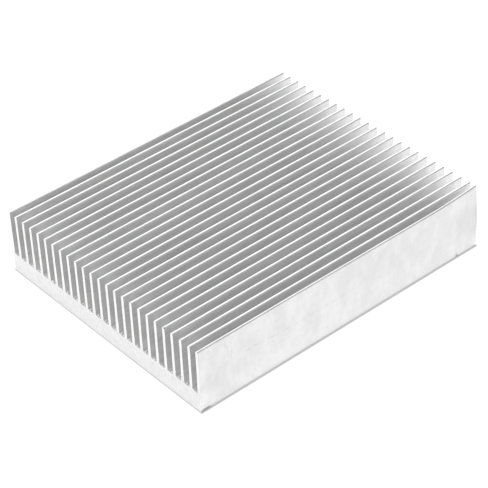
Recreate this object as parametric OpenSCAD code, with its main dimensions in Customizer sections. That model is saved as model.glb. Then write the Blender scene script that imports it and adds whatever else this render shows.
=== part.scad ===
// Extruded heat sink: one sawn length of comb-section aluminium profile.
// The section lies in X-Z and runs along Y. The origin is the middle of the underside.
// Fins are parallel over their upper part and swell towards a filleted root.
// The two outer fins are thinner than the rest and stand flush with the base's sides.
// The far corner of the right-hand outer fin has been knocked in and stays bent.

/* [Profile] */
// Overall width across the fins
profile_w = 120; // [90:1:180]
// Overall height from the underside to the fin tips
profile_h = 30; // [24:0.5:45]
// Thickness of the base below the groove floors
base_t = 9; // [5:0.5:11]
// Radius on the two long bottom edges of the base
base_edge_r = 0.5; // [0.2:0.1:1.5]
// Sawn length along the fins
cut_length = 150; // [75:1:300]

/* [Fins] */
// Number of fins, with the two outer ones
fin_count = 25; // [11:1:27]
// Thickness of an inner fin over its parallel part
fin_t = 1.5; // [1.2:0.05:2]
// Thickness that a groove wall gains from its parallel part down to its root
root_swell = 0.12; // [0.05:0.01:0.3]
// Height above the groove floor over which a wall swells
swell_h = 9; // [3:0.5:11]
// Radius on the edges of the fin tips
tip_r = 0.5; // [0.2:0.05:0.55]
// Radius between a fin's root and the groove floor
root_r = 0.6; // [0.2:0.05:0.9]

/* [Outer fins] */
// Thickness of an outer fin over its parallel part
outer_fin_t = 1.2; // [1.1:0.05:2]
// Width of the groove beside an outer fin, at the tips
outer_groove_w = 3.25; // [2.5:0.05:4]

/* [Knocked corner] */
// Length of the outer fin's tip that is bent over, measured back from the sawn end
knock_len = 27; // [15:1:45]
// Height above the groove floor at which the fold runs out over the sawn end
knock_rise = 3; // [1:0.5:5]
// Distance that the corner has been pushed in towards the next fin
knock_in = 1.2; // [0.3:0.1:2]

/* [Hidden] */

// Straight steps that a rounded edge is drawn with
arc_steps = 5;
// Distance by which a cutting shape runs past the metal
overrun = 2;
// Width by which the bent corner laps into the rest of its fin
fold_lap = 0.3;
// Step that the outer face makes at the fold, so that the lap stays below it
fold_step = 0.03;

half_w = profile_w / 2;
half_l = cut_length / 2;
pitch = (profile_w - 2 * (outer_fin_t + outer_groove_w) - fin_t) / (fin_count - 3);
swell_angle = atan(root_swell / swell_h);

// The fold runs across the outer face, from the fin's tip down to the sawn end
knock_h = profile_h - base_t - knock_rise;
fold_dir = [0, knock_len, -knock_h];
corner_reach = knock_len * knock_h / norm(fold_dir);
fold_angle = asin(knock_in / corner_reach);

// Middle of fin number i. The outer fins are numbers 0 and fin_count - 1.
function fin_x(i) = (i - (fin_count - 1) / 2) * pitch;

function arc(cx, cz, r, from, to) =
    [for (k = [0:arc_steps])
        let (a = from + (to - from) * k / arc_steps)
        [cx + r * cos(a), cz + r * sin(a)]];

function mirrored(points) =
    [for (k = [len(points) - 1:-1:0]) [-points[k][0], points[k][1]]];

// The right-hand wall of a fin whose parallel part ends at x, drawn downwards:
// rounded tip edge, parallel part, swelling part and root fillet
function falling_wall(x) = concat(
    arc(x - tip_r, profile_h - tip_r, tip_r, 90, 0),
    [[x, base_t + swell_h]],
    arc(x + root_swell + root_r * (1 - sin(swell_angle)) / cos(swell_angle), base_t + root_r,
        root_r, 180 + swell_angle, 270));

// The left-hand wall of a fin whose parallel part starts at x, drawn upwards
function rising_wall(x) = mirrored(falling_wall(-x));

function groove(left_x, right_x) = concat(falling_wall(left_x), rising_wall(right_x));

// The groove beside the left-hand outer fin
function outer_groove() =
    groove(outer_fin_t - half_w, outer_fin_t + outer_groove_w - half_w);

function inner_grooves() =
    [for (i = [1:fin_count - 3])
        each groove(fin_x(i) + fin_t / 2, fin_x(i + 1) - fin_t / 2)];

// The right-hand side of the whole profile, drawn downwards
function outer_face() = concat(
    arc(half_w - tip_r, profile_h - tip_r, tip_r, 90, 0),
    arc(half_w - base_edge_r, base_edge_r, base_edge_r, 0, -90));

module section() {
    polygon(concat(
        mirrored(outer_face()),
        outer_groove(),
        inner_grooves(),
        mirrored(outer_groove()),
        outer_face()));
}

module extrusion() {
    translate([0, half_l, 0])
        rotate([90, 0, 0])
            linear_extrude(cut_length)
                section();
}

// The space beyond the fold and a lap before it, from inside the outer groove outwards. Its
// origin is the corner that the tip and the sawn end make on the outer face.
module corner_block(lap) {
    depth = outer_fin_t + outer_groove_w / 2;
    grow = 1 + lap / corner_reach;
    translate([-depth, 0, 0])
        rotate([90, 0, 90])
            linear_extrude(depth + overrun)
                polygon([
                    [-knock_len * grow - overrun * knock_len / knock_h, overrun],
                    [overrun, overrun],
                    [overrun, -knock_h * grow - overrun * knock_h / knock_len]]);
}

// The extrusion with the far corner of its right-hand outer fin folded in
module heat_sink() {
    corner = [half_w, half_l, profile_h];
    fold_start = corner - [0, knock_len, 0];
    color("gainsboro") {
        difference() {
            extrusion();
            translate(corner)
                corner_block(0);
        }
        translate(fold_start - [fold_step, 0, 0])
            rotate(-fold_angle, fold_dir)
                translate(-fold_start)
                    intersection() {
                        extrusion();
                        translate(corner)
                            corner_block(fold_lap);
                    }
    }
}

heat_sink();
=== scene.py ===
"""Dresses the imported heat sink: the worn, sawn extrusion, its saw burrs, and a white studio.

The section is drawn again here with finer edges, then lofted along Y through stations, so that
the knocked fin corner, the nicks and the small unevenness of a real extrusion can be pushed
into it. Its inner fins are 0.1 mm thinner than the solid's, which keeps their lit edges narrow.
All lengths are metres in the frame of the part.
"""

import math
import random

import bmesh
import bpy
from bpy.props import (
    FloatProperty,
    FloatVectorProperty,
    IntProperty,
    PointerProperty,
)
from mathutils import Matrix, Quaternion, Vector


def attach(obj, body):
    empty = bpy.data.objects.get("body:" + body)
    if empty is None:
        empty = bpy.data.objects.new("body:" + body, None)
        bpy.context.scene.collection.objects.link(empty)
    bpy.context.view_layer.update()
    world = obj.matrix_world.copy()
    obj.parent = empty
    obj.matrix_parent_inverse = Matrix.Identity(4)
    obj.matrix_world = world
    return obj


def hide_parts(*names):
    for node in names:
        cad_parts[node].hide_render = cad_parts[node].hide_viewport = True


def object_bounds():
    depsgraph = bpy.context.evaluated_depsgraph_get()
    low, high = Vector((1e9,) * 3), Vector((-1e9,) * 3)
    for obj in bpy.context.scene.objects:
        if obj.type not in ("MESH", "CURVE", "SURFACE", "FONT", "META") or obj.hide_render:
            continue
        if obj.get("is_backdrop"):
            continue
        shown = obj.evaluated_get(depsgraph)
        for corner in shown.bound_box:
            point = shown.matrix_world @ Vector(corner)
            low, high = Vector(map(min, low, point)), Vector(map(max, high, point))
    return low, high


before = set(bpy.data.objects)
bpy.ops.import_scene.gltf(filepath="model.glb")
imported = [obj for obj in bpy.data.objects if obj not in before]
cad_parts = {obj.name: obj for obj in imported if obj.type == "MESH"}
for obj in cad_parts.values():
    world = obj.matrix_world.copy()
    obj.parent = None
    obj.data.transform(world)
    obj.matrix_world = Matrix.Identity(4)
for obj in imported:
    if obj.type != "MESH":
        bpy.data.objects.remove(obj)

bl_info = {
    "name": "Extruded heat sink",
    "version": (1, 0, 0),
    "blender": (4, 5, 0),
    "location": "3D View > Sidebar > Heat Sink",
    "description": "Builds a sawn length of finned aluminium extrusion in a white studio",
    "category": "Object",
}

CAD_LOW, CAD_HIGH = (Vector(corner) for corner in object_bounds())
CAD_SIZE = CAD_HIGH - CAD_LOW
MM = 0.001

BLACK = (0, 0, 0)
WHITE = (1, 1, 1)

# the finishes of the profile, in the order of its materials
GROOVE, SAWN, OUTER = range(3)

# how far along the lower right-hand edge its nick is, from the middle at 0 to the far end at 1
NICK_PLACE = 0.85


# ---------------------------------------------------------------- sizes and colours


class HeatSinkSizes(bpy.types.PropertyGroup):
    """The sizes of the extruded section and of its damage"""

    fin_count: IntProperty(
        name="Fins", description="Number of fins, with the two outer ones", default=25, min=5
    )
    base_thickness: FloatProperty(
        name="Base", description="Thickness of the base", default=9 * MM, unit="LENGTH"
    )
    fin_thickness: FloatProperty(
        name="Fin", description="Thickness of an inner fin", default=1.4 * MM, unit="LENGTH"
    )
    outer_fin_thickness: FloatProperty(
        name="Outer fin", description="Thickness of an outer fin", default=1.2 * MM, unit="LENGTH"
    )
    outer_groove: FloatProperty(
        name="Outer groove",
        description="Width of the groove beside an outer fin",
        default=3.25 * MM,
        unit="LENGTH",
    )
    root_swell: FloatProperty(
        name="Swell",
        description="Thickness that a groove wall gains down to its root",
        default=0.12 * MM,
        unit="LENGTH",
    )
    swell_height: FloatProperty(
        name="Swell height",
        description="Height above the groove floor over which a wall swells",
        default=9 * MM,
        unit="LENGTH",
    )
    tip_radius: FloatProperty(
        name="Tip radius", description="Radius on the fin tips", default=0.5 * MM, unit="LENGTH"
    )
    root_radius: FloatProperty(
        name="Root radius",
        description="Radius between a fin and the groove floor",
        default=0.6 * MM,
        unit="LENGTH",
    )
    edge_radius: FloatProperty(
        name="Base edge radius",
        description="Radius on the long bottom edges",
        default=0.25 * MM,
        unit="LENGTH",
    )
    sawn_chamfer: FloatProperty(
        name="Sawn edge",
        description="Width of the deburred edge at both sawn ends",
        default=0.04 * MM,
        unit="LENGTH",
    )
    knock_length: FloatProperty(
        name="Knock length",
        description="Length of fin tip that is bent over",
        default=27 * MM,
        unit="LENGTH",
    )
    knock_rise: FloatProperty(
        name="Knock rise",
        description="Height above the groove floor where the fold runs out",
        default=3 * MM,
        unit="LENGTH",
    )
    knock_depth: FloatProperty(
        name="Knock depth",
        description="Distance that the corner is pushed in",
        default=1.2 * MM,
        unit="LENGTH",
    )


class HeatSinkFinish(bpy.types.PropertyGroup):
    """The colours and the polish of the aluminium"""

    # painted light: the groove metal is brighter than the outer metal, to make up for the light
    # that the deep grooves lose
    groove: FloatVectorProperty(
        name="Groove metal",
        description="Colour of the clean extruded walls between the fins",
        subtype="COLOR",
        default=(1, 1, 1),
        min=0,
        max=1,
    )
    # painted shade: the handled outer metal is darker than the groove metal, against the bright
    # floor that it mirrors
    side: FloatVectorProperty(
        name="Outer metal",
        description="Colour of the handled tips, sides and underside",
        subtype="COLOR",
        default=(0.82, 0.82, 0.82),
        min=0,
        max=1,
    )
    sawn: FloatVectorProperty(
        name="Sawn metal",
        description="Colour of the sawn ends",
        subtype="COLOR",
        default=(0.825, 0.825, 0.825),
        min=0,
        max=1,
    )
    smudge: FloatVectorProperty(
        name="Smudge",
        description="Colour of dirt and handling marks",
        subtype="COLOR",
        default=(0.3, 0.3, 0.3),
        min=0,
        max=1,
    )
    roughness: FloatProperty(
        name="Roughness",
        description="Roughness of the extruded faces",
        default=0.27,
        min=0,
        max=1,
        subtype="FACTOR",
    )
    metallic: FloatProperty(
        name="Metallic",
        description="How far the aluminium mirrors like bare metal",
        default=0.7,
        min=0,
        max=1,
        subtype="FACTOR",
    )


class HeatSinkStudio(bpy.types.PropertyGroup):
    """The camera and the light"""

    azimuth: FloatProperty(
        name="Azimuth",
        description="Where the camera stands, turned from -Y towards +X",
        default=math.radians(50.497),
        subtype="ANGLE",
    )
    elevation: FloatProperty(
        name="Elevation",
        description="Height of the camera above the floor",
        default=math.radians(37.878),
        subtype="ANGLE",
    )
    roll: FloatProperty(
        name="Roll",
        description="Turn of the camera about its own axis",
        default=math.radians(-2.525),
        subtype="ANGLE",
    )
    distance: FloatProperty(
        name="Distance", description="From the camera to its aim", default=0.80488, unit="LENGTH"
    )
    aim: FloatVectorProperty(
        name="Aim",
        description="What the camera looks at, from the middle of the heat sink",
        default=(7.565 * MM, -7.068 * MM, 0),
        subtype="TRANSLATION",
    )
    lens: FloatProperty(
        name="Lens", description="Focal length in millimetres", default=145.525, unit="CAMERA"
    )
    floor_white: FloatVectorProperty(
        name="Floor",
        description="Colour of the studio floor",
        subtype="COLOR",
        default=(0.28, 0.28, 0.28),
        min=0,
        max=1,
    )
    floor_glow: FloatProperty(
        name="Floor glow",
        description="Light that comes up through the floor",
        default=0.9,
        min=0,
        max=1,
        subtype="FACTOR",
    )
    low_light: FloatProperty(
        name="Low light", description="Strength of the light near the floor", default=0.6, min=0
    )
    side_light: FloatProperty(
        name="Side light", description="Strength of the light half way up", default=2.05, min=0
    )
    top_light: FloatProperty(
        name="Top light", description="Strength of the light overhead", default=1.1, min=0
    )
    screen: FloatProperty(
        name="Screen",
        description="Share of the light that the dark screen takes away",
        default=0.75,
        min=0,
        max=1,
        subtype="FACTOR",
    )


# ---------------------------------------------------------------- shader expressions


class Wire:
    """A shader value that can be used in a Python expression"""

    def __init__(self, graph, socket):
        self.graph = graph
        self.socket = socket

    def _math(self, operation, *values):
        return self.graph.node("ShaderNodeMath", {"operation": operation}, *values)

    def __add__(self, other):
        return self._math("ADD", self, other)

    def __sub__(self, other):
        return self._math("SUBTRACT", self, other)

    def __rsub__(self, other):
        return self._math("SUBTRACT", other, self)

    def __mul__(self, other):
        return self._math("MULTIPLY", self, other)

    def __neg__(self):
        return self * -1

    def __abs__(self):
        return self._math("ABSOLUTE", self)

    __radd__ = __add__
    __rmul__ = __mul__


class Graph:
    """A node tree and its shader, filled by expressions"""

    def __init__(self, owner, shader="Principled BSDF"):
        self.tree = owner.node_tree
        self.shader = self.tree.nodes[shader]

    def node(self, kind, settings=None, *values, out=None, **named):
        """Adds a node, makes its settings, fills its sockets in order or by name"""
        made = self.tree.nodes.new(kind)
        for key, value in (settings or {}).items():
            setattr(made, key, value)
        sockets = [s for s in made.inputs if s.enabled]
        pairs = list(zip(sockets, values))
        pairs += [(made.inputs[name.replace("_", " ")], value) for name, value in named.items()]
        for socket, value in pairs:
            self.fill(socket, value)
        return Wire(self, next(s for s in made.outputs if s.enabled and out in (None, s.name)))

    def fill(self, socket, value):
        """Links a wire to a socket, or sets the socket's own number or colour"""
        if isinstance(value, Wire):
            self.tree.links.new(value.socket, socket)
        elif value is not None:
            socket.default_value = (*value, 1) if socket.type == "RGBA" else value

    def feed(self, name, value):
        """Fills a socket of the shader"""
        self.fill(self.shader.inputs[name], value)

    def split(self, vector):
        """The three parts of a vector"""
        first = self.node("ShaderNodeSeparateXYZ", None, vector)
        return [Wire(self, socket) for socket in first.socket.node.outputs]

    def greatest(self, value, *others):
        """The greatest of several values"""
        for other in others:
            value = self.node("ShaderNodeMath", {"operation": "MAXIMUM"}, value, other)
        return value

    def place(self, scale=(1, 1, 1), shift=(0, 0, 0)):
        """The place on the part in metres, shifted and scaled"""
        where = self.node("ShaderNodeTexCoord", None, out="Object")
        if scale == (1, 1, 1) and shift == (0, 0, 0):
            return where
        return self.node(
            "ShaderNodeMapping", {"vector_type": "POINT"}, where, shift, None, scale
        )

    def noise(self, size, detail=3.0, roughness=0.55, stretch=(1, 1, 1), shift=(0, 0, 0)):
        """Noise of about that size in metres, longer where stretch is larger"""
        scale = tuple(1 / (size * s) for s in stretch)
        return self.node(
            "ShaderNodeTexNoise",
            {"noise_dimensions": "3D"},
            self.place(scale, shift),
            Scale=1.0,
            Detail=detail,
            Roughness=roughness,
        )

    def ramp(self, value, low, high):
        """0 below low, 1 above high, smooth between"""
        return self.node(
            "ShaderNodeMapRange",
            {"interpolation_type": "SMOOTHSTEP", "clamp": True},
            value, low, high, 0.0, 1.0,
        )

    def mix(self, factor, first, second):
        """A colour between two colours"""
        return self.node("ShaderNodeMix", {"data_type": "RGBA"}, factor, first, second)


def new_graph(name):
    """A new material, and the graph of its nodes"""
    material = bpy.data.materials.new(name)
    material.use_nodes = True
    return material, Graph(material)


def band(g, value, middle, half_width, edge):
    """1 where the value lies within half a width of the middle, 0 beyond its soft edges"""
    return 1 - g.ramp(abs(value - middle), half_width - edge / 2, half_width + edge / 2)


def spot(g, centre, radii):
    """1 in the middle of a soft round spot on the part and 0 outside it, in millimetres"""
    scale = tuple(1 / (r * MM) for r in radii)
    shift = tuple(-c / r for c, r in zip(centre, radii))
    away = g.node("ShaderNodeVectorMath", {"operation": "LENGTH"}, g.place(scale, shift))
    return 1 - g.ramp(away, 0.4, 1.0)


def extruded(g, finish, colour, strength):
    """Gives die lines of two sizes, drawn out along the length, and returns their colour"""
    die_lines = g.noise(0.25 * MM, detail=2, stretch=(1, 400, 1))
    broad_lines = g.noise(0.9 * MM, detail=2, stretch=(1, 60, 1), shift=(3, 1, 7))
    g.feed("Roughness", finish.roughness)
    height = die_lines * 0.6 + broad_lines * 0.4
    bump = g.node(
        "ShaderNodeBump", None, Strength=0.3 * strength, Distance=0.02 * MM, Height=height
    )
    g.feed("Normal", bump)
    return g.mix(g.ramp(broad_lines, 0.4, 0.65) * 0.1 * strength, colour, BLACK)


def chip_shade(g, section):
    """Painted shade in the chip in one corner of a fin's tip, at the front end"""
    place = section.chip() / MM
    return spot(g, place, (0.5, 0.6, 0.5)) * 0.85


def groove_finish(finish, section):
    """Clean extruded aluminium, as between the fins, with painted light in its bright colour and
    painted shade beside the cuts
    """
    material, g = new_graph("groove_aluminium")
    _, y, _ = g.split(g.place())
    colour = extruded(g, finish, tuple(finish.groove), 1)
    # painted shade: the last few millimetres before each cut are darker
    shade_beside_cut = 1 - band(g, y, 0, CAD_SIZE.y / 2 - 3 * MM, 3 * MM)
    colour = g.mix(shade_beside_cut * 0.16, colour, BLACK)
    g.feed("Base Color", g.mix(chip_shade(g, section), colour, BLACK))
    g.feed("Metallic", finish.metallic)
    return material


def outer_finish(finish, section):
    """Handled extruded aluminium: cloudy and marked, with painted shade on its tips and far end
    and a foot painted bright
    """
    material, g = new_graph("outer_aluminium")
    x, y, z = g.split(g.place())
    smudge = tuple(finish.smudge)
    # half the width and half the length, in millimetres
    side, end = CAD_SIZE.x / 2 / MM, CAD_SIZE.y / 2 / MM
    colour = extruded(g, finish, tuple(finish.side), 0.15)

    # clouds and specks of soil all over
    cloud = g.noise(11 * MM, detail=4, roughness=0.65, stretch=(1, 0.8, 1.4), shift=(5, 2, 9))
    speck = g.noise(2.5 * MM, detail=3, roughness=0.7, shift=(1, 8, 3))
    soil_and_shade = g.ramp(cloud, 0.35, 0.65) * 0.16 + g.ramp(speck, 0.45, 0.75) * 0.05
    # three dull patches on the right-hand side
    for along, high, wide, tall, strength in (
        (0.92 * end, 15, 8, 11, 0.21),
        (0.3 * end, 20, 9, 11, 0.08),
        (-0.93 * end, 12, 6, 6, 0.1),
    ):
        soil_and_shade = soil_and_shade + spot(g, (side, along, high), (20, wide, tall)) * strength

    # painted shade: the last stretch before the far cut is a little darker
    soil_and_shade = soil_and_shade + g.ramp(y, (end - 2) * MM, (end - 1) * MM) * 0.07

    # one long faint line that rises towards the front, and short rubbed scratches near the end
    line_height = g.ramp(-y, 22 * MM, 60 * MM) * 2 * MM + 15.6 * MM
    line = band(g, z - line_height, 0, 0.25 * MM, 0.5 * MM)
    line = line * spot(g, (side, -end * 0.36, 16), (20, end * 0.6, 10))
    line = line * g.ramp(g.noise(4 * MM, detail=3, shift=(6, 3, 1)), 0.4, 0.6)
    rubbed = g.noise(0.8 * MM, detail=2, stretch=(1, 1, 7), shift=(2, 6, 4))
    scratches = g.ramp(rubbed, 0.5, 0.6) * spot(g, (side, -end * 0.8, 24), (20, 3, 9))
    colour = g.mix(soil_and_shade + line * 0.2 + scratches * 0.22, colour, smudge)

    # painted light: the foot of both sides is painted bright, against the dark contact line that
    # it mirrors, and matt at its very edge
    on_side = g.ramp(abs(x), CAD_HIGH.x - 1 * MM, CAD_HIGH.x - 0.4 * MM)
    painted_bright_foot = on_side * (1 - g.ramp(z, 0.7 * MM, 1.9 * MM))
    colour = g.mix(painted_bright_foot * 0.9, colour, WHITE)
    matt_foot = on_side * (1 - g.ramp(z, 0.1 * MM, 0.9 * MM))
    g.feed("Metallic", (1 - matt_foot) * finish.metallic)

    # darker in the near corner of the lower right-hand edge, and in the nick further along it
    dark_spots = spot(g, (side, -end + 2.5, 0.4), (3, 3.5, 1))
    dark_spots = dark_spots * 0.8 + spot(g, (side, end * NICK_PLACE, 0), (2, 0.9, 0.8))
    colour = g.mix(dark_spots, colour, smudge)

    # painted shade: the tips are a little darker than the sides
    tips = g.ramp(z, CAD_HIGH.z - 1 * MM, CAD_HIGH.z - 0.2 * MM)
    colour = g.mix(tips * 0.1, colour, BLACK)
    g.feed("Base Color", g.mix(chip_shade(g, section), colour, BLACK))
    return material


def sawn_finish(finish, section):
    """Sawn aluminium: speckled, with the fine arcs that a saw blade leaves"""
    material, g = new_graph("sawn_aluminium")
    _, _, z = g.split(g.place())
    mottle = g.noise(5 * MM, detail=4)
    speck = g.noise(0.9 * MM, detail=2, roughness=0.7, shift=(4, 0, 6))
    arcs = g.node(
        "ShaderNodeTexWave",
        {"wave_type": "RINGS", "rings_direction": "Y", "wave_profile": "SIN"},
        g.place((1 / MM, 1 / MM, 1 / MM), (-90, 0, 210)),
        out="Fac",
        Scale=0.9,
        Distortion=3.0,
        Detail=3.0,
        Detail_Scale=1.2,
    )
    grey = g.ramp(mottle, 0.35, 0.7) * 0.04 + g.ramp(speck, 0.4, 0.7) * 0.09
    # painted shade: the base is darker than the fins above it, but for its foot, which is painted
    # bright
    grey = grey + (1 - g.ramp(z, 7.5 * MM, 14 * MM)) * 0.13
    colour = g.mix(grey, tuple(finish.sawn), BLACK)
    # painted light: the foot of the sawn end is painted bright, against the dark contact line
    # that it mirrors
    painted_bright_foot = 1 - g.ramp(z, 0.4 * MM, 1.6 * MM)
    colour = g.mix(painted_bright_foot * 0.35, colour, WHITE)
    g.feed("Base Color", g.mix(chip_shade(g, section), colour, BLACK))
    g.feed("Metallic", finish.metallic)
    g.feed("Roughness", 0.42 + (arcs - 0.5) * 0.1)
    g.feed(
        "Normal",
        g.node("ShaderNodeBump", None, Strength=0.3, Distance=0.01 * MM, Height=arcs),
    )
    return material


def studio_white(studio):
    """A white floor that is lit to a pure white, with only a painted contact shadow left dark
    along the part
    """
    material, g = new_graph("studio_white")
    x, y, _ = g.split(g.place())
    g.feed("Base Color", tuple(studio.floor_white))
    g.feed("Roughness", 0.9)
    # how far a point lies from the part, counted shorter at its sides and longer behind it
    beside_it = (abs(x) - CAD_SIZE.x / 2) * 0.8 - 0.2 * MM
    before_it = -y - CAD_SIZE.y / 2
    behind_it = (y - CAD_SIZE.y / 2) * 2
    gap = g.greatest(beside_it, before_it, behind_it)
    # painted shadow: right under the edge it is nearly dark
    line = 1 - g.ramp(gap, 0.0, 1 * MM)
    # beside the part it glows more, because the part hides the sky from it
    beside = 1 - g.ramp(gap, 1 * MM, 14 * MM)
    # further out it is only just white
    far_out = g.ramp(gap, 40 * MM, 150 * MM)
    lit = 1 + beside * 0.075 - line * 0.75 - far_out * 0.19
    g.feed("Emission Color", g.mix(lit * studio.floor_glow, BLACK, WHITE))
    g.feed("Emission Strength", 1.0)
    return material


# ---------------------------------------------------------------- the section


def arc(x, z, radius, start, end, steps=6):
    """Points on an arc about (x, z), from one angle to another in degrees"""
    points = []
    for k in range(steps + 1):
        angle = math.radians(start + (end - start) * k / steps)
        points.append((x + radius * math.cos(angle), z + radius * math.sin(angle)))
    return points


def mirrored(points):
    """The same points with left and right exchanged, in the opposite order"""
    return [(-x, z) for x, z in reversed(points)]


class Section:
    """The comb section in X-Z, as wide and as high as the solid part"""

    # rows of faces on the parallel stretch of a wall, and again on the swelling one
    wall_rows = 5

    def __init__(self, sizes):
        self.sizes = sizes
        self.half = CAD_SIZE.x / 2
        self.top = CAD_SIZE.z
        inner = CAD_SIZE.x - 2 * (sizes.outer_fin_thickness + sizes.outer_groove)
        self.pitch = (inner - sizes.fin_thickness) / (sizes.fin_count - 3)
        root = sizes.root_swell + sizes.root_radius
        if self.pitch <= sizes.fin_thickness + 2 * root:
            raise ValueError("The fins and their roots leave no room for the grooves")
        if self.top <= sizes.base_thickness + sizes.swell_height + sizes.tip_radius:
            raise ValueError("The base and the swelling of the fins are too high for the part")

    def fin_x(self, i):
        """The middle of a fin, the fins being numbered from 0 at the left"""
        return (i - (self.sizes.fin_count - 1) / 2) * self.pitch

    def chip(self):
        """Where the fifth fin from the right is chipped, in a corner of its tip"""
        fin = self.sizes.fin_count - 5
        x = self.fin_x(fin) + self.sizes.fin_thickness / 2 - 0.1 * MM
        return Vector((x, -CAD_SIZE.y / 2 + 0.15 * MM, self.top - 0.2 * MM))

    def fin_at(self, x):
        """The number of the fin that stands nearest to x"""
        last = self.sizes.fin_count - 1
        return min(last, max(0, round(x / self.pitch + last / 2)))

    def falling_wall(self, x):
        """The right-hand wall of a fin, from its tip down to the groove floor"""
        s = self.sizes
        slope = math.atan2(s.root_swell, s.swell_height)
        r = s.root_radius
        bend_z = s.base_thickness + s.swell_height
        tip = arc(x - s.tip_radius, self.top - s.tip_radius, s.tip_radius, 90, 0)
        root_x = x + s.root_swell + r * (1 - math.sin(slope)) / math.cos(slope)
        root = arc(root_x, s.base_thickness + r, r, 180 + math.degrees(slope), 270)
        upper = self.between(tip[-1], (x, bend_z))
        lower = self.between((x, bend_z), root[0])
        return tip + upper + [(x, bend_z)] + lower + root

    def between(self, first, last):
        """The rows of a wall between two of its points"""
        rows = self.wall_rows
        return [
            (
                first[0] + (last[0] - first[0]) * k / rows,
                first[1] + (last[1] - first[1]) * k / rows,
            )
            for k in range(1, rows)
        ]

    def groove(self, left, right):
        """Down one wall of a groove and up the other"""
        return self.falling_wall(left) + mirrored(self.falling_wall(-right))

    def outer_face(self):
        """The right-hand side, with a point level with each point of a groove wall"""
        wall = self.falling_wall(self.half)
        return [(min(x, self.half), z) for x, z in wall] + self.foot()

    def foot(self):
        """The rounded long bottom edge on the right"""
        r = self.sizes.edge_radius
        return arc(self.half - r, r, r, 0, -90)

    def outline(self):
        """The whole section, clockwise from the left end of its underside"""
        s = self.sizes
        left = s.outer_fin_thickness - self.half
        outer_groove = self.groove(left, left + s.outer_groove)
        points = mirrored(self.outer_face()) + outer_groove
        for i in range(1, s.fin_count - 2):
            half_fin = s.fin_thickness / 2
            points += self.groove(self.fin_x(i) + half_fin, self.fin_x(i + 1) - half_fin)
        return points + mirrored(outer_groove) + self.outer_face()

    def finish_numbers(self):
        """For each stretch of the outline, whether it lies in a groove or outside"""
        s = self.sizes
        points = self.outline()
        numbers = []
        for first, last in zip(points, points[1:] + points[:1]):
            x, z = abs(first[0] + last[0]) / 2, (first[1] + last[1]) / 2
            beside = x < self.half - s.outer_fin_thickness / 2
            below_tip = s.base_thickness / 2 < z < self.top - s.tip_radius * 0.6
            numbers.append(GROOVE if beside and below_tip else OUTER)
        return numbers

    def fin_walls(self):
        """For each fin, the outline's numbers up its left wall and up its right wall"""
        rows = len(self.falling_wall(0))
        start = len(self.foot())
        walls = []
        for _ in range(self.sizes.fin_count):
            left = list(range(start, start + rows))
            right = list(range(start + 2 * rows - 1, start + rows - 1, -1))
            walls.append((left, right))
            start += 2 * rows
        return walls


def inset(points, amount):
    """The outline moved into the metal by that amount"""
    moved = []
    count = len(points)
    for k, (x, z) in enumerate(points):
        before, after = points[k - 1], points[(k + 1) % count]
        along = Vector((after[0] - before[0], after[1] - before[1]))
        along.normalize()
        # the outline runs clockwise, so the metal lies on the right of its direction
        moved.append((x + along.y * amount, z - along.x * amount))
    return moved


# ---------------------------------------------------------------- damage


class Wear:
    """Pushes a perfect point to where the real, knocked and uneven part has it"""

    def __init__(self, section):
        self.section = section
        self.half_length = CAD_SIZE.y / 2
        rng = random.Random(7)
        count = section.sizes.fin_count
        # each fin leans a little, and bows in the middle of its length; the outer two go inwards
        self.lean = [rng.uniform(-0.05, 0.05) * MM for _ in range(count)]
        self.bow = [rng.uniform(-0.05, 0.05) * MM for _ in range(count)]
        self.lean[0], self.bow[0] = 0.04 * MM, 0.03 * MM
        self.lean[-1], self.bow[-1] = -0.04 * MM, -0.03 * MM
        lower_edge = Vector((section.half, self.half_length * NICK_PLACE, 0.2 * MM))
        # each nick has its middle, its radius and the push at its middle
        self.nicks = [
            (lower_edge, 0.9 * MM, Vector((-0.3, 0, 0)) * MM),
            (section.chip(), 0.6 * MM, Vector((-0.25, 0.1, -0.15)) * MM),
        ]

    def corner_bend(self, y, z):
        """How far the knocked corner has gone in at that height and length"""
        s = self.section.sizes
        depth = self.section.top - s.base_thickness - s.knock_rise
        # 0 along the fold and 1 in the corner, where the bend is steepest
        beyond = (y - self.half_length) / s.knock_length + 1 - (self.section.top - z) / depth
        return s.knock_depth * max(0.0, beyond) ** 1.5

    def moved(self, x, y, z):
        """Where a point of the perfect profile lies on the worn one"""
        s = self.section.sizes
        if z > s.base_thickness:
            fin = self.section.fin_at(x)
            up = (z - s.base_thickness) / (self.section.top - s.base_thickness)
            belly = 1 - (y / self.half_length) ** 2
            x += (self.lean[fin] + self.bow[fin] * belly) * up * up
            if fin == s.fin_count - 1:
                x -= self.corner_bend(y, z)
        point = Vector((x, y, z))
        for middle, radius, push in self.nicks:
            gap = (point - middle).length / radius
            if gap < 1:
                point += push * (1 - gap * gap)
        return point


# ---------------------------------------------------------------- pieces


def stations(half_length, knock_length):
    """Places along Y where the section is set out, close together at ends and damage"""
    near = [0, 0.3, 0.7, 1.2, 2, 4, 8]
    places = {-half_length + d * MM for d in near} | {half_length - d * MM for d in near}
    # every 10 mm, then every 2 mm through the bend, then round the nick
    step = 10 * MM
    for k in range(1, int(2 * half_length / step)):
        places.add(round(-half_length + k * step, 6))
    bend_start = half_length - knock_length * 1.2
    for k in range(16):
        places.add(round(bend_start + k * 2 * MM, 6))
    for d in (-1, -0.4, 0, 0.4, 1):
        places.add(half_length * NICK_PLACE + d * MM)
    # those that all but meet are made one
    ordered = sorted(y for y in places if -half_length <= y <= half_length)
    kept = [ordered[0]]
    for y in ordered[1:]:
        if y - kept[-1] > 0.2 * MM:
            kept.append(y)
    kept[-1] = half_length
    return kept


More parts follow.
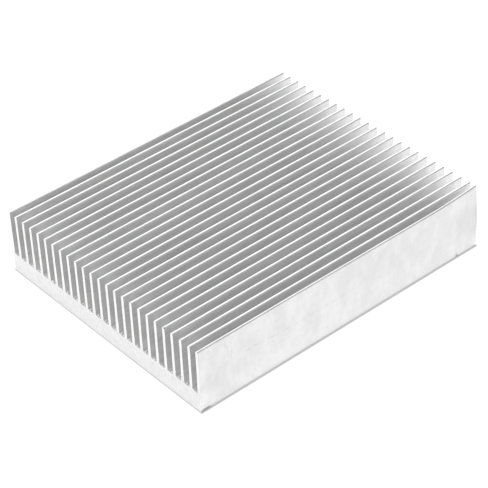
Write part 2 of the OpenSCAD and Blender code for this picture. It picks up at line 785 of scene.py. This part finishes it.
def loft_profile(section):
    """The worn section drawn through all its stations, and closed at both sawn ends"""
    wear = Wear(section)
    outline = section.outline()
    chamfer = section.sizes.sawn_chamfer
    chamfered = inset(outline, chamfer)
    places = stations(CAD_SIZE.y / 2, section.sizes.knock_length)
    rings = [(places[0], chamfered), (places[0] + chamfer, outline)]
    rings += [(y, outline) for y in places[1:-1]]
    rings += [(places[-1] - chamfer, outline), (places[-1], chamfered)]

    mesh = bmesh.new()
    loops = [
        [mesh.verts.new(wear.moved(x, y, z)) for x, z in points] for y, points in rings
    ]
    count = len(outline)
    finishes = section.finish_numbers()
    for first, second in zip(loops, loops[1:]):
        for k in range(count):
            after = (k + 1) % count
            face = mesh.faces.new((first[k], first[after], second[after], second[k]))
            face.material_index = finishes[k]
    for loop in (loops[0], loops[-1]):
        close_end(mesh, loop, section)
    bmesh.ops.recalc_face_normals(mesh, faces=mesh.faces)
    return mesh


def close_end(mesh, loop, section):
    """Fills a sawn end: rows of quads up each fin, and triangles over the base"""
    walls = section.fin_walls()
    foot = len(section.foot())
    faces = []
    for left, right in walls:
        for k in range(len(left) - 1):
            corners = (left[k], left[k + 1], right[k + 1], right[k])
            faces.append(mesh.faces.new([loop[c] for c in corners]))
    roots = [wall[0] for pair in walls for wall in pair]
    rim = list(range(foot)) + roots + list(range(len(loop) - foot, len(loop)))
    base = mesh.faces.new([loop[c] for c in rim])
    for face in (*faces, base):
        face.material_index = SAWN
    bmesh.ops.triangulate(mesh, faces=[base], ngon_method="EAR_CLIP")


def flake(mesh, root, width, height, lean, thick):
    """A thin ragged wedge of metal that stands on its root, which is sunk into the part"""
    foot = [(-width, -thick), (width, -thick), (width, thick), (-width, thick)]
    low = [mesh.verts.new(root + Vector((x / 2, y / 2, -0.15 * MM))) for x, y in foot]
    crest = [
        mesh.verts.new(root + Vector((x, lean, z)))
        for x, z in ((-width * 0.3, height), (width * 0.2, height * 0.7))
    ]
    mesh.faces.new((low[3], low[2], low[1], low[0]))
    mesh.faces.new((low[0], low[1], crest[1], crest[0]))
    mesh.faces.new((low[2], low[3], crest[0], crest[1]))
    mesh.faces.new((low[1], low[2], crest[1]))
    mesh.faces.new((low[3], low[0], crest[0]))


def saw_burrs(section):
    """Flakes at both ends of every groove floor"""
    rng = random.Random(3)
    mesh = bmesh.new()
    half_length = CAD_SIZE.y / 2
    for groove in range(section.sizes.fin_count - 1):
        middle = (section.fin_x(groove) + section.fin_x(groove + 1)) / 2
        for end in (-1, 1):
            for _ in range(rng.choice((2, 3, 4))):
                x = middle + rng.uniform(-1.2, 1.2) * MM
                y = end * (half_length - rng.uniform(0.15, 0.5) * MM)
                width, height = rng.uniform(0.3, 0.8) * MM, rng.uniform(0.15, 0.55) * MM
                lean = -end * rng.uniform(0.05, 0.4) * MM
                root = Vector((x, y, section.sizes.base_thickness))
                flake(mesh, root, width, height, lean, 0.15 * MM)
    bmesh.ops.recalc_face_normals(mesh, faces=mesh.faces)
    return mesh


def add_piece(name, mesh, materials):
    """A mesh that rides on the part, with its materials, smooth but for its sharp edges"""
    data = bpy.data.meshes.new(name)
    mesh.to_mesh(data)
    mesh.free()
    for material in materials:
        data.materials.append(material)
    data.shade_smooth()
    data.set_sharp_from_angle(angle=math.radians(32))
    piece = bpy.data.objects.new(name, data)
    bpy.context.scene.collection.objects.link(piece)
    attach(piece, "root")
    return piece


# ---------------------------------------------------------------- operators


class OBJECT_OT_heat_sink_profile(bpy.types.Operator):
    """Builds the sawn extrusion with its fins"""

    bl_idname = "object.heat_sink_profile"
    bl_label = "Extruded Profile"

    def execute(self, context):
        section = Section(context.scene.heat_sink_sizes)
        finish = context.scene.heat_sink_finish
        # in the order of GROOVE, SAWN and OUTER
        finishes = [
            groove_finish(finish, section),
            sawn_finish(finish, section),
            outer_finish(finish, section),
        ]
        piece = add_piece("finned_profile", loft_profile(section), finishes)
        weighted = piece.modifiers.new("Flat faces stay flat", "WEIGHTED_NORMAL")
        weighted.keep_sharp = True
        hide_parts("heat_sink")
        return {"FINISHED"}


class OBJECT_OT_heat_sink_burrs(bpy.types.Operator):
    """Adds the ragged burrs that the saw left at both ends of the grooves"""

    bl_idname = "object.heat_sink_burrs"
    bl_label = "Saw Burrs"

    def execute(self, context):
        section = Section(context.scene.heat_sink_sizes)
        finish = sawn_finish(context.scene.heat_sink_finish, section)
        add_piece("saw_burrs", saw_burrs(section), [finish])
        return {"FINISHED"}


class OBJECT_OT_heat_sink_studio(bpy.types.Operator):
    """Sets up the white floor, the soft light and the camera"""

    bl_idname = "object.heat_sink_studio"
    bl_label = "White Studio"

    def execute(self, context):
        studio = context.scene.heat_sink_studio
        self.add_floor(context, studio)
        self.add_sky(context, studio)
        self.add_camera(context, studio)
        context.scene.view_settings.view_transform = "Standard"
        # light is thrown from wall to wall many times before it leaves a deep groove
        context.scene.cycles.max_bounces = 24
        context.scene.cycles.glossy_bounces = 16
        return {"FINISHED"}

    def add_floor(self, context, studio):
        """A wide flat floor, level with the underside"""
        mesh = bmesh.new()
        bmesh.ops.create_grid(mesh, x_segments=1, y_segments=1, size=6)
        data = bpy.data.meshes.new("floor")
        mesh.to_mesh(data)
        mesh.free()
        data.materials.append(studio_white(studio))
        floor = bpy.data.objects.new("floor", data)
        floor.location.z = CAD_LOW.z
        context.scene.collection.objects.link(floor)
        floor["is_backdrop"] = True

    def add_sky(self, context, studio):
        """Soft light from all round, strongest half way up"""
        world = bpy.data.worlds.new("studio_light")
        context.scene.world = world
        world.use_nodes = True
        g = Graph(world, "Background")
        x, y, z = g.split(g.node("ShaderNodeTexCoord", None, out="Generated"))
        light = studio.low_light + g.ramp(z, 0.1, 0.5) * (studio.side_light - studio.low_light)
        light = light - g.ramp(z, 0.65, 0.95) * (studio.side_light - studio.top_light)
        # a dark screen stands behind the part, on its right
        towards_screen = x * 0.77 + y * 0.64
        screen = g.ramp(towards_screen, 0.0, 0.4) * (1 - g.ramp(z, 0.8, 0.97))
        g.feed("Color", WHITE)
        g.feed("Strength", light * (1 - screen * studio.screen))

    def add_camera(self, context, studio):
        """A long lens that looks down on the near right-hand corner"""
        data = bpy.data.cameras.new("camera")
        data.lens = studio.lens
        data.clip_start = 0.05
        camera = bpy.data.objects.new("camera", data)
        context.scene.collection.objects.link(camera)
        aim = (CAD_LOW + CAD_HIGH) / 2 + Vector(studio.aim)
        level = math.cos(studio.elevation)
        towards = Vector((
            level * math.sin(studio.azimuth),
            -level * math.cos(studio.azimuth),
            math.sin(studio.elevation),
        ))
        camera.location = aim + towards * studio.distance
        roll = Quaternion((0, 0, 1), studio.roll)
        camera.rotation_mode = "QUATERNION"
        camera.rotation_quaternion = towards.to_track_quat("Z", "Y") @ roll
        context.scene.camera = camera


class VIEW3D_PT_heat_sink(bpy.types.Panel):
    """Lists the pieces and their settings"""

    bl_idname = "VIEW3D_PT_heat_sink"
    bl_label = "Heat Sink"
    bl_space_type = "VIEW_3D"
    bl_region_type = "UI"
    bl_category = "Heat Sink"

    def draw(self, context):
        scene = context.scene
        for group in (scene.heat_sink_sizes, scene.heat_sink_finish, scene.heat_sink_studio):
            box = self.layout.box()
            for name in group.__annotations__:
                box.prop(group, name)
        for operator in OPERATORS:
            self.layout.operator(operator.bl_idname)


OPERATORS = (
    OBJECT_OT_heat_sink_profile,
    OBJECT_OT_heat_sink_burrs,
    OBJECT_OT_heat_sink_studio,
)
CLASSES = (
    HeatSinkSizes,
    HeatSinkFinish,
    HeatSinkStudio,
    *OPERATORS,
    VIEW3D_PT_heat_sink,
)


def register():
    """Adds the classes, and their settings to the scene"""
    for cls in CLASSES:
        bpy.utils.register_class(cls)
    bpy.types.Scene.heat_sink_sizes = PointerProperty(type=HeatSinkSizes)
    bpy.types.Scene.heat_sink_finish = PointerProperty(type=HeatSinkFinish)
    bpy.types.Scene.heat_sink_studio = PointerProperty(type=HeatSinkStudio)


def unregister():
    """Takes away what register adds"""
    del bpy.types.Scene.heat_sink_studio
    del bpy.types.Scene.heat_sink_finish
    del bpy.types.Scene.heat_sink_sizes
    for cls in reversed(CLASSES):
        bpy.utils.unregister_class(cls)


def main():
    """Builds the pieces and the stage"""
    register()
    bpy.ops.object.heat_sink_profile()
    bpy.ops.object.heat_sink_burrs()
    bpy.ops.object.heat_sink_studio()


if __name__ == "__main__":
    main()
